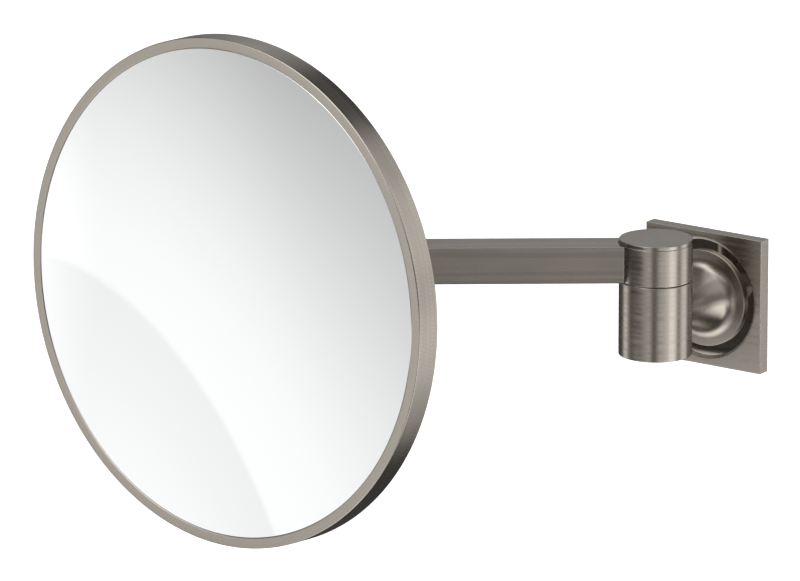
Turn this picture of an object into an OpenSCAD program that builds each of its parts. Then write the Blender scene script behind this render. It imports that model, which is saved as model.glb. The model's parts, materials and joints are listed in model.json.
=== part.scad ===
// Wall-held extendable shaving mirror: a square wall plate carries a hinged square arm,
// and the round mirror swivels and tilts at the far end of the arm.
// Frame: origin on the wall at the centre of the wall plate, +Z up, the plate faces -Y.

/* [Wall plate] */
// Width and height of the square wall plate
plate_w = 55; // [50:0.5:80]
// Thickness of the wall plate
plate_t = 5.7; // [5.2:0.1:8]
// Chamfer along the plate's front edges
plate_edge = 0.4; // [0.2:0.1:1]
// Outer radius of the round recess in the plate's front
recess_r = 24.9; // [21:0.1:26]
// Depth of the round recess, which is also the thickness of the post's disc
recess_depth = 1.5; // [1.2:0.1:2]
// Width of the narrow ledge inside the recess's edge
ledge_w = 0.8; // [0.4:0.1:1.2]
// Depth of that ledge below the plate's front
ledge_depth = 0.5; // [0.3:0.1:0.8]
// Width and height of the pocket behind the plate
pocket_w = 44; // [40:0.5:46]
// Depth of the pocket behind the plate
pocket_depth = 3; // [2.8:0.1:3.4]

/* [Wall bracket] */
// Thickness of the steel wall bracket
bracket_t = 2.5; // [2:0.1:2.7]
// Distance between the bracket's two screw holes
bracket_hole_pitch = 30; // [24:1:34]
// Diameter of each wall screw hole
bracket_hole_d = 4.5; // [4:0.1:5]
// Diameter of the screw that clamps the plate to the bracket
clamp_screw_d = 3; // [2.5:0.5:3]

/* [Post] */
// Radius of the disc that fills the recess
disc_r = 19.8; // [18:0.1:21]
// Radius where the post's flare meets the disc
flare_r = 16.6; // [15:0.1:17.5]
// Radius of the tight bend at the foot of the flare
flare_bend_r = 5.5; // [4.5:0.1:6]
// Diameter of the post's neck
neck_d = 15; // [13:0.5:16]
// Distance from the wall to the upright hinge axis
axis_out = 40; // [38:0.5:50]
// Diameter of the bolt that runs through the post
tie_bolt_d = 5; // [4:0.5:5]

/* [Wall hinge] */
// Diameter of the stacked hinge housings
housing_d = 29.4; // [29:0.1:36]
// Height of the fixed lower housing
lower_h = 30.4; // [29:0.1:38]
// Gap between the two housings
hinge_gap = 0.3; // [0.2:0.1:0.6]
// Thickness of the cap on the upper housing
cap_t = 1.7; // [1.4:0.1:2.5]
// Diameter of the pivot bolt's shank
pivot_d = 8; // [6.5:0.5:10]
// Diameter of the spring cavity in the lower housing
cavity_d = 22; // [20:0.5:22.5]
// Depth of the spring cavity
cavity_h = 10; // [9.8:0.1:10.4]

/* [Arm] */
// Width and height of the square arm
arm_w = 15; // [12.5:0.5:18]
// Distance between the arm's two upright axes
arm_reach = 128; // [105:1:160]
// Chamfer along the arm's long edges
arm_edge = 0.3; // [0.2:0.1:0.8]
// Diameter of the spigots at the arm's ends
spigot_d = 8; // [6.5:0.5:8.5]
// Angle between the arm and the wall in the rest pose
arm_angle = 36.4; // [10:0.1:80]

/* [Mirror joint] */
// Diameter of the swivel bolt's shank
swivel_d = 6; // [5:0.5:7]
// Thickness of each cheek of the fork
cheek_t = 4.5; // [4:0.5:6]
// Thickness of the friction washers in the mirror joint
washer_t = 0.5; // [0.4:0.1:1]
// Distance from the swivel axis to the tilt axis
tilt_out = 40; // [38:0.5:44]
// Radius of the tilt barrel and of the lugs beside it
barrel_r = 7; // [6.5:0.1:8]
// Width of the tilt barrel
barrel_w = 16; // [14:0.5:20]
// Thickness of each lug of the mirror's hinge bracket
lug_t = 4.5; // [4:0.5:6]
// Diameter of the tilt bolt's shank
tilt_d = 5; // [4:0.5:6]
// Angle that the mirror is turned away from the wall's normal in the rest pose
mirror_yaw = 5.5; // [-30:0.5:30]
// Angle that the mirror is tipped upwards in the rest pose
mirror_tilt = 2; // [-15:0.5:15]

/* [Mirror] */
// Diameter of the mirror's rim
mirror_d = 203; // [170:1:245]
// Depth of the rim from front to back
rim_depth = 10.8; // [10.4:0.1:14]
// Width of the rim's front face
rim_face = 4.3; // [3.8:0.1:6]
// Chamfer on the rim's outer edges
rim_edge = 0.5; // [0.3:0.1:1]
// Distance from the swivel axis to the rim's front face
mirror_out = 66; // [64:0.5:72]
// Distance that the mirror's centre lies below the tilt axis
mirror_drop = 0.5; // [0:0.5:5]
// Thickness of the glass
glass_t = 3; // [2.5:0.1:3]
// Depth of the dish in the magnifying glass
glass_dish = 3; // [1:0.1:3]
// Thickness of the carrier plate behind the glass
carrier_t = 1.5; // [1.2:0.1:1.8]
// Wall of the back cover
cover_wall = 1.2; // [1:0.1:1.5]
// Distance that the back cover stands behind the rim
cover_rise = 1.7; // [1.2:0.1:3]

/* [Hidden] */
$fn = 96;

// Clearances
run_gap = 0.04;      // radial, a shaft that turns in a bush
seat_gap = 0.02;     // radial, a piece pressed or screwed into another
slip_gap = 0.1;      // radial, a bolt that passes through a plain hole
show_gap = 0.2;      // radial, a cover or glass dropped into its frame
cope_gap = 0.1;      // between the arm's hollowed ends and the round housings
swing_gap = 1.3;     // between the fork's web and the eye that turns inside it
tip = 0.01;          // how far a cut runs past the face that it opens
end_gap = 0.2;       // between a blind hole's floor and the end of what fills it
head_gap = 0.7;      // radial, around a bolt's head that lies in a counterbore
burr = 0.2;          // small chamfer on turned edges

// Finishes
satin = [0.43, 0.40, 0.37];
steel = [0.62, 0.63, 0.65];
bronze = [0.62, 0.48, 0.28];
black = [0.12, 0.12, 0.13];

// Wall end
housing_r = housing_d / 2;
neck_r = neck_d / 2;
neck_seat_r = housing_r - 2.7;               // the neck's end, measured from the hinge axis
bush_wall = 1;
pivot_bush_r = pivot_d / 2 + bush_wall;
tie_end_r = pivot_bush_r + 1.6;              // the tie bolt's end, from the hinge axis
tie_head_r = tie_bolt_d * 0.9;
tie_head_h = 2.4;
boss_r = tie_head_r + 3.5;                   // the post's boss in the plate's web
neck_seat_z = axis_out - neck_seat_r;        // the same seat, measured from the wall
flare_slope = 60;                            // the post's slope where its two bends meet
flare_mid_r = flare_r - flare_bend_r * sin(flare_slope);
flare_mid_z = flare_bend_r * (1 - cos(flare_slope));
sweep_r = (flare_mid_r - neck_r) / (1 - sin(flare_slope));
sweep_end_z = flare_mid_z + sweep_r * cos(flare_slope);
flare_h = recess_depth + sweep_end_z;        // from the disc's back to the plain neck
disc_z = plate_t - recess_depth;             // the recess's floor, from the wall
dowel_r = 1.25;
dowel_in = 0.9;                              // how deep the plate's dowel enters the disc
plate_dowel_r = boss_r + 2 * dowel_r;        // that dowel's distance from the post's axis
neck_dowel_r = (neck_r + tie_bolt_d / 2 + slip_gap) / 2;
neck_dowel_h = 4.2;                          // half in the neck and half in the housing
clamp_screw_y = -pocket_w / 2 + 0.1;         // the clamp screw's tip, just short of the bracket
clamp_screw_h = 5;
clamp_socket = 2;                            // depth of its hexagon socket
clamp_screw_z = clamp_screw_d / 2 + 0.6;     // the clamp screw's axis, from the wall

// Wall hinge, heights from the middle of the plate
lower_top = lower_h / 2;
upper_bot = lower_top + hinge_gap;
upper_top = upper_bot + arm_w;
arm_z = upper_bot + arm_w / 2;
cavity_top = cavity_h - lower_top;
cavity_r = cavity_d / 2;
bottom_cap_t = 1.4;
bottom_cap_in = 0.2;                         // the cap's face above the housing's lower end
flat_washer_t = 1;
spring_t = 1;                                // height of one disc spring
spring_wall = 0.6;
spring_r = pivot_d * 0.95;
lock_nut_h = 4.4;
lock_nut_af = pivot_d * 1.625;
hinge_washer_t = 1.3;
hinge_washer_r = housing_r - 4.5;
washer_bot = upper_bot - hinge_washer_t;
thrust_bot = upper_top - 7;                  // floor of the counterbore for the bolt's head
thrust_t = 1;
pivot_head_r = pivot_d / 2 + 2.5;
pivot_head_h = 4;
cap_boss_h = 1.4;
cap_boss_r = housing_r - 2.7;
spring_top = cavity_top - flat_washer_t;
spring_bot = spring_top - 2 * spring_t;
nut_bot = spring_bot - lock_nut_h;

// Arm
spigot_r = spigot_d / 2;
spigot_in = pivot_head_r + 2;                // the spigot's end, from the hinge axis
eye_r = arm_w / 2 + 3.5;
eye_spigot_in = swivel_d / 2 + 3.3;
grub_r = 1.5;
grub_in = 0.5;                               // how deep a set screw bites into a spigot
grub_h = arm_w / 2 - cap_boss_h - spigot_r + grub_in;
wall_grub_x = (spigot_in + housing_r) / 2;   // from the hinge axis
eye_grub_x = (eye_spigot_in + eye_r) / 2;    // from the swivel axis

// Mirror joint, heights from the middle of the arm
swivel_bush_r = swivel_d / 2 + bush_wall;
cheek_bot = arm_w / 2 + washer_t;
cheek_top = cheek_bot + cheek_t;
web_r = eye_r + swing_gap;
web_t = 5.5;
yoke_neck_r = 6;
swivel_head_r = swivel_d / 2 + 2.5;
swivel_head_h = 3.2;
swivel_washer_r = eye_r - 2.5;
swivel_spring_t = 1.2;
swivel_spring_wall = 0.8;
swivel_nut_af = swivel_d * 1.667;
swivel_nut_h = 5;
tilt_bush_r = tilt_d / 2 + bush_wall;
lug_in = barrel_w / 2 + washer_t;
lug_out = lug_in + lug_t;
tilt_head_r = tilt_d / 2 + 2;
tilt_head_h = 2.8;
tilt_nut_af = tilt_d * 1.6;
tilt_nut_h = 4;

// Mirror, depths from the rim's front face
mirror_r = mirror_d / 2;
glass_pocket_r = mirror_r - rim_face;
glass_r = glass_pocket_r - show_gap;
glass_set = 0.2;                             // the glass's edge below the rim's face
shelf_r = glass_pocket_r - 5;                // the glass rests on a shelf 5 wide
pocket_edge = 0.15;                          // chamfer at the glass pocket's mouth
glass_ball_r = (glass_r * glass_r + glass_dish * glass_dish) / (2 * glass_dish);
glass_ball_d = glass_set + glass_dish - glass_ball_r;
shelf_d = glass_back(shelf_r) + seat_gap;
pad_t = 0.5;                                 // the pad's thickness in the middle
carrier_d = glass_back(0) + pad_t;
carrier_back = carrier_d + carrier_t;
frame_wall = 2.5;
carrier_r = mirror_r - frame_wall - show_gap;
bracket_base_t = 2.5;
bracket_base_r = 22;
cover_back = rim_depth + cover_rise;
cover_round = 2.5;
cover_hole_r = bracket_base_r + 3;           // the bracket's disc lies inside this hole
bracket_screw_pcd = 34;
bracket_screw_d = 4;
cover_boss_pcd = 120;
cover_boss_r = 3.6;
cover_screw_d = 3;
carrier_screw_pcd = 2 * shelf_r + 5;
carrier_screw_d = 2.5;
carrier_screw_count = 6;
carrier_screw_in = 2.4;                      // its thread's length in the rim
carrier_head_h = 1.6;

// Depth of the glass's silvered back at a distance r from the centre
function glass_back(r) = glass_ball_d + sqrt(pow(glass_ball_r + glass_t, 2) - r * r);

// ---- Places -------------------------------------------------------------------------

// Local Z points out from the wall, local Y points up
module at_wall() rotate([90, 0, 0]) children();

module at_hinge() translate([0, -axis_out, 0]) children();

// Local X runs along the arm, away from the wall
module at_arm() at_hinge() rotate([0, 0, 180 + arm_angle]) children();

// The far end of the arm, at the middle of its height
module at_end() at_arm() translate([arm_reach, 0, arm_z]) children();

// Local -Y points the way that the mirror looks, before it is tipped
module at_swivel() at_end() rotate([0, 0, -180 - arm_angle - mirror_yaw]) children();

module at_tilt() at_swivel() translate([0, -tilt_out, 0]) rotate([-mirror_tilt, 0, 0]) children();

// Centre of the rim's front face, with local Z pointing into the mirror
module at_mirror()
  at_tilt() translate([0, tilt_out - mirror_out, -mirror_drop]) rotate([-90, 0, 0]) children();

// ---- Shapes -------------------------------------------------------------------------

// A turned cylinder with a chamfer at each end
module turned(r, h, low = 0, high = 0)
  rotate_extrude()
    polygon([[0, 0], [r - low, 0], [r, low], [r, h - high], [r - high, h], [0, h]]);

module washer(r_out, r_in, h)
  difference() {
    cylinder(r = r_out, h = h);
    translate([0, 0, -tip]) cylinder(r = r_in, h = h + 2 * tip);
  }

// A disc spring: a shallow cone of constant thickness
module disc_spring(r_out, r_in, h, t)
  rotate_extrude()
    polygon([[r_in, h - t], [r_out, 0], [r_out, t], [r_in, h]]);

module hexagon(af, h) cylinder(r = af / 2 / cos(30), h = h, $fn = 6);

// A screw with its head above local Z = 0 and its shank below
module screw(r, length, head_r, head_h, socket_af)
  difference() {
    union() {
      turned(head_r, head_h, 0, 0.5);
      translate([0, 0, -length]) turned(r, length + tip, 0.3, 0);
    }
    translate([0, 0, head_h * 0.45]) hexagon(socket_af, head_h);
  }

// A countersunk screw whose flat head lies at local Z = 0
module sunk_screw(r, length, socket_af)
  difference() {
    rotate_extrude()
      polygon([[0, 0], [2 * r, 0], [2 * r, -0.3], [r, -r - 0.3], [r, -length], [0, -length]]);
    translate([0, 0, -r * 0.7]) hexagon(socket_af, r);
  }

// The hole for that screw
module sunk_hole(r, length, gap)
  translate([0, 0, -length])
    rotate_extrude()
      polygon([[0, -tip], [r + gap, -tip], [r + gap, length - r - 0.3], [2 * r + gap, length - 0.3],
               [2 * r + gap, length + tip], [0, length + tip]]);

// A socket set screw with a chamfered end, standing on local Z = 0
module set_screw(r, h, socket_af)
  difference() {
    turned(r, h, 0.4, 0.2);
    translate([0, 0, h * 0.5]) hexagon(socket_af, h);
  }

module around(count, pcd, start = 0)
  for (i = [0 : count - 1])
    rotate([0, 0, start + i * 360 / count]) translate([pcd / 2, 0, 0]) children();

// A bar along X with its four long edges chamfered
module square_bar(length, w, edge)
  rotate([90, 0, 90])
    linear_extrude(length)
      polygon([for (q = [0 : 3]) for (s = [-1, 1])
        let (a = 90 * q, u = w / 2, v = s * (w / 2 - edge))
          [u * cos(a) - v * sin(a), u * sin(a) + v * cos(a)]]);

// ---- Wall plate and post ---------------------------------------------------------------

// Bars that cut the chamfers along a square plate's front edges
module front_edge_cuts(w, t, edge)
  for (a = [0 : 90 : 270])
    rotate([0, 0, a]) translate([w / 2, 0, t]) rotate([0, 45, 0])
      cube([edge * sqrt(2), w + 1, edge * sqrt(2)], center = true);

module wall_plate()
  color(satin) at_wall() difference() {
    translate([-plate_w / 2, -plate_w / 2, 0]) cube([plate_w, plate_w, plate_t]);
    front_edge_cuts(plate_w, plate_t, plate_edge);
    translate([-pocket_w / 2, -pocket_w / 2, -tip]) cube([pocket_w, pocket_w, pocket_depth + tip]);
    translate([0, 0, plate_t - ledge_depth]) cylinder(r = recess_r, h = plate_t);
    translate([0, 0, disc_z]) cylinder(r = recess_r - ledge_w, h = plate_t);
    cylinder(r = boss_r + seat_gap, h = plate_t);
    translate([0, -plate_dowel_r, 0]) cylinder(r = dowel_r + seat_gap, h = plate_t);
    translate([0, -plate_w / 2 - tip, clamp_screw_z]) rotate([-90, 0, 0])
      cylinder(r = clamp_screw_d / 2 + seat_gap, h = (plate_w - pocket_w) / 2 + tip);
  }

module wall_bracket()
  color(steel) at_wall() difference() {
    w = pocket_w - 2 * show_gap;
    translate([-w / 2, -w / 2, 0]) cube([w, w, bracket_t]);
    for (s = [-1, 1])
      translate([s * bracket_hole_pitch / 2, 0, -tip])
        cylinder(d = bracket_hole_d, h = bracket_t + 2 * tip);
    translate([0, 0, -tip]) cylinder(r = tie_head_r + head_gap, h = bracket_t + 2 * tip);
  }

module clamp_screw()
  color(black) at_wall() translate([0, clamp_screw_y, clamp_screw_z]) rotate([90, 0, 0])
    difference() {
      turned(clamp_screw_d / 2, clamp_screw_h, clamp_screw_d / 5, burr);
      translate([0, 0, clamp_screw_h - clamp_socket])
        hexagon(clamp_screw_d / 2, clamp_socket + tip);
    }

// Half of the post's outline: disc, tight bend, long sweep and plain neck
module post_outline(length)
  difference() {
    union() {
      polygon([[0, 0], [disc_r, 0], [disc_r, recess_depth - plate_edge / 2],
               [disc_r - plate_edge / 2, recess_depth], [0, recess_depth]]);
      translate([0, recess_depth - tip]) square([flare_r, length - recess_depth + tip]);
    }
    translate([flare_r, recess_depth + flare_bend_r]) intersection() {
      circle(r = flare_bend_r, $fn = 180);
      translate([-flare_bend_r, -flare_bend_r]) square([2 * flare_bend_r, flare_mid_z]);
    }
    translate([neck_r + sweep_r, flare_h]) intersection() {
      circle(r = sweep_r, $fn = 360);
      translate([-sweep_r, flare_mid_z - sweep_end_z])
        square([sweep_r, sweep_end_z - flare_mid_z]);
    }
    translate([neck_r, flare_h]) square([flare_r, length]);
  }

module turned_post(length)
  translate([0, 0, disc_z]) rotate_extrude($fn = 180) post_outline(length);

module post()
  color(satin) difference() {
    length = neck_seat_z - disc_z;
    at_wall() difference() {
      union() {
        turned_post(length);
        translate([0, 0, pocket_depth]) cylinder(r = boss_r, h = disc_z - pocket_depth + tip);
      }
      cylinder(r = tie_bolt_d / 2 + slip_gap, h = axis_out);
      translate([0, -plate_dowel_r, disc_z - tip])
        cylinder(r = dowel_r + seat_gap, h = dowel_in + end_gap / 2);
      translate([0, neck_dowel_r, neck_seat_z - neck_dowel_h / 2 - end_gap])
        cylinder(r = dowel_r + seat_gap, h = neck_dowel_h);
    }
  }

module tie_bolt()
  color(black) at_wall() translate([0, 0, pocket_depth]) rotate([180, 0, 0])
    screw(tie_bolt_d / 2, axis_out - tie_end_r - pocket_depth, tie_head_r, tie_head_h, tie_bolt_d * 0.7);

// One dowel keys the post to the plate, the other keys it to the lower housing
module dowel_pins()
  color(steel) at_wall() {
    translate([0, -plate_dowel_r, pocket_depth])
      turned(dowel_r, disc_z - pocket_depth + dowel_in, burr, burr);
    translate([0, neck_dowel_r, neck_seat_z - neck_dowel_h / 2])
      turned(dowel_r, neck_dowel_h, burr, burr);
  }

// ---- Wall hinge: fixed half -------------------------------------------------------------

module lower_housing()
  color(satin) difference() {
    at_hinge() difference() {
      translate([0, 0, -lower_top]) turned(housing_r, lower_h, 2 * burr, burr);
      translate([0, 0, -lower_top - tip]) cylinder(r = cavity_r, h = cavity_h + tip);
      cylinder_between(pivot_bush_r, cavity_top - tip, lower_top + tip);
      cylinder_between(hinge_washer_r + seat_gap, washer_bot, lower_top + tip);
    }
    at_wall() {
      cylinder_between(neck_r + seat_gap, neck_seat_z - housing_r, neck_seat_z);
      turned_post(flare_h);
      cylinder_between(tie_bolt_d / 2 + seat_gap, neck_seat_z - tip, axis_out - tie_end_r + end_gap);
      translate([0, neck_dowel_r, neck_seat_z - tip])
        cylinder(r = dowel_r + seat_gap, h = neck_dowel_h / 2 + end_gap);
    }
  }

module cylinder_between(r, from, to)
  translate([0, 0, from]) cylinder(r = r, h = to - from);

module bush(shaft_d, from, to)
  translate([0, 0, from]) washer(shaft_d / 2 + bush_wall - seat_gap, shaft_d / 2 + run_gap, to - from);

module lower_bush() color(bronze) at_hinge() bush(pivot_d, cavity_top, washer_bot);

module friction_washer()
  color(black) at_hinge() translate([0, 0, washer_bot])
    washer(hinge_washer_r, pivot_d / 2 + slip_gap, hinge_washer_t);

module pivot_bolt()
  color(steel) at_hinge() translate([0, 0, thrust_bot + thrust_t])
    screw(pivot_d / 2, thrust_bot + thrust_t - nut_bot, pivot_head_r, pivot_head_h, pivot_d * 0.6);

module flat_washer()
  color(steel) at_hinge() translate([0, 0, spring_top])
    washer(pivot_d, pivot_d / 2 + slip_gap, flat_washer_t);

// Two disc springs, edge to edge
module spring_washers()
  color(steel) at_hinge() translate([0, 0, spring_bot + spring_t])
    for (flip = [0, 1])
      mirror([0, 0, flip]) disc_spring(spring_r, pivot_d / 2 + slip_gap, spring_t, spring_wall);

module lock_nut()
  color(steel) at_hinge() translate([0, 0, nut_bot]) difference() {
    hexagon(lock_nut_af, lock_nut_h);
    translate([0, 0, -tip]) cylinder(r = pivot_d / 2 + seat_gap, h = lock_nut_h + 2 * tip);
  }

module bottom_cap()
  color(satin) at_hinge() translate([0, 0, bottom_cap_in - lower_top])
    turned(cavity_r - seat_gap, bottom_cap_t, burr, burr);

// ---- Wall hinge: turning half and arm ----------------------------------------------------

module upper_housing()
  color(satin) at_arm() difference() {
    translate([0, 0, upper_bot]) turned(housing_r, arm_w, burr, burr / 2);
    cylinder_between(pivot_bush_r, upper_bot - tip, upper_top);
    cylinder_between(pivot_head_r + head_gap, thrust_bot, upper_top + tip);
    cylinder_between(cap_boss_r + seat_gap, upper_top - cap_boss_h - end_gap, upper_top + tip);
    translate([spigot_in - end_gap, 0, arm_z]) rotate([0, 90, 0])
      cylinder(r = spigot_r + seat_gap, h = housing_r);
    translate([wall_grub_x, 0, arm_z]) cylinder(r = grub_r + seat_gap, h = arm_w / 2);
  }

module upper_bush() color(bronze) at_arm() bush(pivot_d, upper_bot, thrust_bot);

module thrust_washer()
  color(bronze) at_arm() translate([0, 0, thrust_bot])
    washer(pivot_head_r + head_gap - slip_gap, pivot_d / 2 + slip_gap, thrust_t);

module top_cap()
  color(satin) at_arm() {
    translate([0, 0, upper_top]) turned(housing_r, cap_t, burr / 2, burr);
    translate([0, 0, upper_top - cap_boss_h]) turned(cap_boss_r, cap_boss_h + tip, burr);
  }

// The bar is hollowed to the round housings at both ends, with a spigot into each
module arm_bar()
  color(satin) at_arm() translate([0, 0, arm_z]) difference() {
    union() {
      difference() {
        square_bar(arm_reach, arm_w, arm_edge);
        cylinder(r = housing_r + cope_gap, h = 2 * arm_w, center = true);
        translate([arm_reach, 0, 0]) cylinder(r = eye_r + cope_gap, h = 2 * arm_w, center = true);
      }
      translate([spigot_in, 0, 0]) rotate([0, 90, 0])
        turned(spigot_r, arm_reach - spigot_in - eye_spigot_in, 2 * burr, 2 * burr);
    }
    for (x = [wall_grub_x, arm_reach - eye_grub_x])
      translate([x, 0, spigot_r - grub_in]) cylinder(r = grub_r + seat_gap, h = 2 * grub_in);
  }

module arm_grub_screws()
  color(black) at_arm()
    for (x = [wall_grub_x, arm_reach - eye_grub_x])
      translate([x, 0, arm_z + spigot_r - grub_in]) set_screw(grub_r, grub_h, grub_r);

module end_eye()
  color(satin) at_end() difference() {
    translate([0, 0, -arm_w / 2]) turned(eye_r, arm_w, burr, burr);
    cylinder_between(swivel_bush_r, -arm_w, arm_w);
    translate([end_gap - eye_spigot_in, 0, 0]) rotate([0, -90, 0])
      cylinder(r = spigot_r + seat_gap, h = eye_r);
    translate([-eye_grub_x, 0, 0]) cylinder(r = grub_r + seat_gap, h = arm_w);
  }

module swivel_bush() color(bronze) at_end() bush(swivel_d, -arm_w / 2, arm_w / 2);

// ---- Fork that swivels on the arm's end ---------------------------------------------------

module swivel_yoke()
  color(satin) at_swivel() difference() {
    union() {
      for (z = [cheek_bot, -cheek_top])
        translate([0, 0, z]) {
          turned(eye_r, cheek_t, burr, burr);
          translate([-yoke_neck_r, -web_r - web_t, 0]) cube([2 * yoke_neck_r, web_r + web_t, cheek_t]);
        }
      translate([-yoke_neck_r, -web_r - web_t, -cheek_top])
        cube([2 * yoke_neck_r, web_t, 2 * cheek_top]);
      translate([0, -web_r - web_t / 2, 0]) rotate([90, 0, 0])
        cylinder(r = yoke_neck_r, h = tilt_out - web_r - web_t / 2);
      translate([-barrel_w / 2, -tilt_out, 0]) rotate([0, 90, 0]) turned(barrel_r, barrel_w, burr, burr);
    }
    cylinder_between(swivel_d / 2 + seat_gap, -2 * cheek_top, 2 * cheek_top);
    translate([-barrel_w, -tilt_out, 0]) rotate([0, 90, 0]) cylinder(r = tilt_bush_r, h = 2 * barrel_w);
  }

module swivel_washers()
  color(black) at_swivel()
    for (z = [arm_w / 2, -cheek_bot])
      translate([0, 0, z]) washer(swivel_washer_r, swivel_d / 2 + slip_gap, washer_t);

module swivel_bolt()
  color(steel) at_swivel() translate([0, 0, cheek_top])
    screw(swivel_d / 2, 2 * cheek_top + swivel_spring_t + swivel_nut_h, swivel_head_r, swivel_head_h,
          swivel_d * 0.65);

module swivel_spring_washer()
  color(steel) at_swivel() translate([0, 0, -cheek_top - swivel_spring_t])
    disc_spring(swivel_d, swivel_d / 2 + slip_gap, swivel_spring_t, swivel_spring_wall);

// A nut with a domed closed end
module swivel_cap_nut()
  color(steel) at_swivel() translate([0, 0, -cheek_top - swivel_spring_t]) mirror([0, 0, 1])
    difference() {
      dome_r = swivel_nut_af / 2 - 2 * burr;
      union() {
        hexagon(swivel_nut_af, swivel_nut_h);
        translate([0, 0, swivel_nut_h]) intersection() {
          sphere(r = dome_r);
          cylinder(r = swivel_nut_af, h = swivel_nut_af);
        }
      }
      translate([0, 0, -tip]) cylinder(r = swivel_d / 2 + seat_gap, h = swivel_nut_h + end_gap);
    }

module tilt_bush()
  color(bronze) at_swivel() translate([0, -tilt_out, 0]) rotate([0, 90, 0])
    bush(tilt_d, -barrel_w / 2, barrel_w / 2);

// ---- Hinge bracket on the mirror's back ----------------------------------------------------

module mirror_bracket()
  color(satin) difference() {
    lug_reach = mirror_out - tilt_out - carrier_back;
    union() {
      at_mirror() translate([0, 0, carrier_back]) turned(bracket_base_r, bracket_base_t, 0, burr);
      at_tilt() for (s = [-1, 1])
        translate([s * (lug_in + lug_out) / 2 - lug_t / 2, 0, 0]) {
          rotate([0, 90, 0]) turned(barrel_r, lug_t, burr, burr);
          translate([0, -lug_reach, -barrel_r]) cube([lug_t, lug_reach, 2 * barrel_r]);
        }
    }
    at_tilt() rotate([0, 90, 0])
      cylinder_between(tilt_d / 2 + seat_gap, -2 * lug_out, 2 * lug_out);
    at_mirror() around(4, bracket_screw_pcd, 45) translate([0, 0, carrier_back + bracket_base_t])
      sunk_hole(bracket_screw_d / 2, bracket_base_t + tip, seat_gap);
  }

module tilt_washers()
  color(black) at_tilt() rotate([0, 90, 0])
    for (x = [barrel_w / 2, -lug_in])
      translate([0, 0, x]) washer(barrel_r - 3 * burr, tilt_d / 2 + slip_gap, washer_t);

module tilt_bolt()
  color(steel) at_tilt() rotate([0, 90, 0]) translate([0, 0, lug_out])
    screw(tilt_d / 2, 2 * lug_out + swivel_spring_t + tilt_nut_h, tilt_head_r, tilt_head_h, tilt_d * 0.6);

module tilt_spring_washer()
  color(steel) at_tilt() rotate([0, 90, 0]) translate([0, 0, -lug_out - swivel_spring_t])
    disc_spring(tilt_d, tilt_d / 2 + slip_gap, swivel_spring_t, swivel_spring_wall);

module tilt_nut()
  color(steel) at_tilt() rotate([0, 90, 0]) translate([0, 0, -lug_out - swivel_spring_t]) mirror([0, 0, 1])
    difference() {
      hexagon(tilt_nut_af, tilt_nut_h);
      translate([0, 0, -tip]) cylinder(r = tilt_d / 2 + seat_gap, h = tilt_nut_h + 2 * tip);
    }

module bracket_screws()
  color(black) at_mirror() around(4, bracket_screw_pcd, 45)
    translate([0, 0, carrier_back + bracket_base_t])
      sunk_screw(bracket_screw_d / 2, bracket_base_t + carrier_t, bracket_screw_d * 0.55);

// ---- Mirror head -----------------------------------------------------------------------------

module carrier_plate()
  color(steel) at_mirror() difference() {
    translate([0, 0, carrier_d]) cylinder(r = carrier_r, h = carrier_t, $fn = 180);
    around(4, bracket_screw_pcd, 45) cylinder(r = bracket_screw_d / 2 + seat_gap, h = 2 * carrier_back);
    around(4, cover_boss_pcd) cylinder(r = cover_screw_d / 2 + seat_gap, h = 2 * carrier_back);
    around(carrier_screw_count, carrier_screw_pcd, 30)
      cylinder(r = carrier_screw_d / 2 + slip_gap, h = 2 * carrier_back);
  }

// Pan-head screws that hold the carrier plate to the rim's shelf
module carrier_screws()
  color(steel) at_mirror() around(carrier_screw_count, carrier_screw_pcd, 30)
    translate([0, 0, carrier_back])
      screw(carrier_screw_d / 2, carrier_t + carrier_screw_in, carrier_screw_d * 0.9, carrier_head_h,
            carrier_screw_d * 0.55);

// Soft pad that follows the back of the glass
module backing_pad()
  color(black) at_mirror() rotate_extrude($fn = 180) {
    r = shelf_r - show_gap;
    steps = 12;
    polygon([[0, carrier_d], [r, carrier_d],
             for (i = [steps : -1 : 0]) [r * i / steps, glass_back(r * i / steps) + cope_gap / 2]]);
  }

// Magnifying glass, dished, of even thickness and silvered behind
module mirror_glass()
  color([0.85, 0.87, 0.9]) at_mirror() rotate_extrude($fn = 180)
    difference() {
      intersection() {
        square([glass_r, carrier_d]);
        translate([0, glass_ball_d]) circle(r = glass_ball_r + glass_t, $fn = 2880);
      }
      translate([0, glass_ball_d]) circle(r = glass_ball_r, $fn = 2880);
    }

// The rim: front face, glass pocket, shelf and a deeper pocket for the back cover
module mirror_frame()
  color(satin) at_mirror() difference() {
    turned_rim();
    around(carrier_screw_count, carrier_screw_pcd, 30)
      cylinder_between(carrier_screw_d / 2 + seat_gap, carrier_d - carrier_screw_in - end_gap / 2,
                       carrier_d + tip);
  }

module turned_rim()
  rotate_extrude($fn = 180)
    polygon([[glass_pocket_r + pocket_edge, 0], [mirror_r - rim_edge, 0], [mirror_r, rim_edge],
             [mirror_r, rim_depth - rim_edge], [mirror_r - rim_edge, rim_depth],
             [mirror_r - frame_wall, rim_depth], [mirror_r - frame_wall, carrier_d],
             [shelf_r, carrier_d], [shelf_r, shelf_d],
             [glass_pocket_r, glass_back(glass_pocket_r) + seat_gap], [glass_pocket_r, pocket_edge]]);

module back_cover()
  color(satin) at_mirror() difference() {
    union() {
      rotate_extrude($fn = 180) cover_outline();
      around(4, cover_boss_pcd)
        cylinder_between(cover_boss_r, carrier_back, cover_back - cover_wall / 2);
    }
    around(4, cover_boss_pcd) translate([0, 0, cover_back])
      sunk_hole(cover_screw_d / 2, cover_back - carrier_back + tip, slip_gap);
  }

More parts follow.
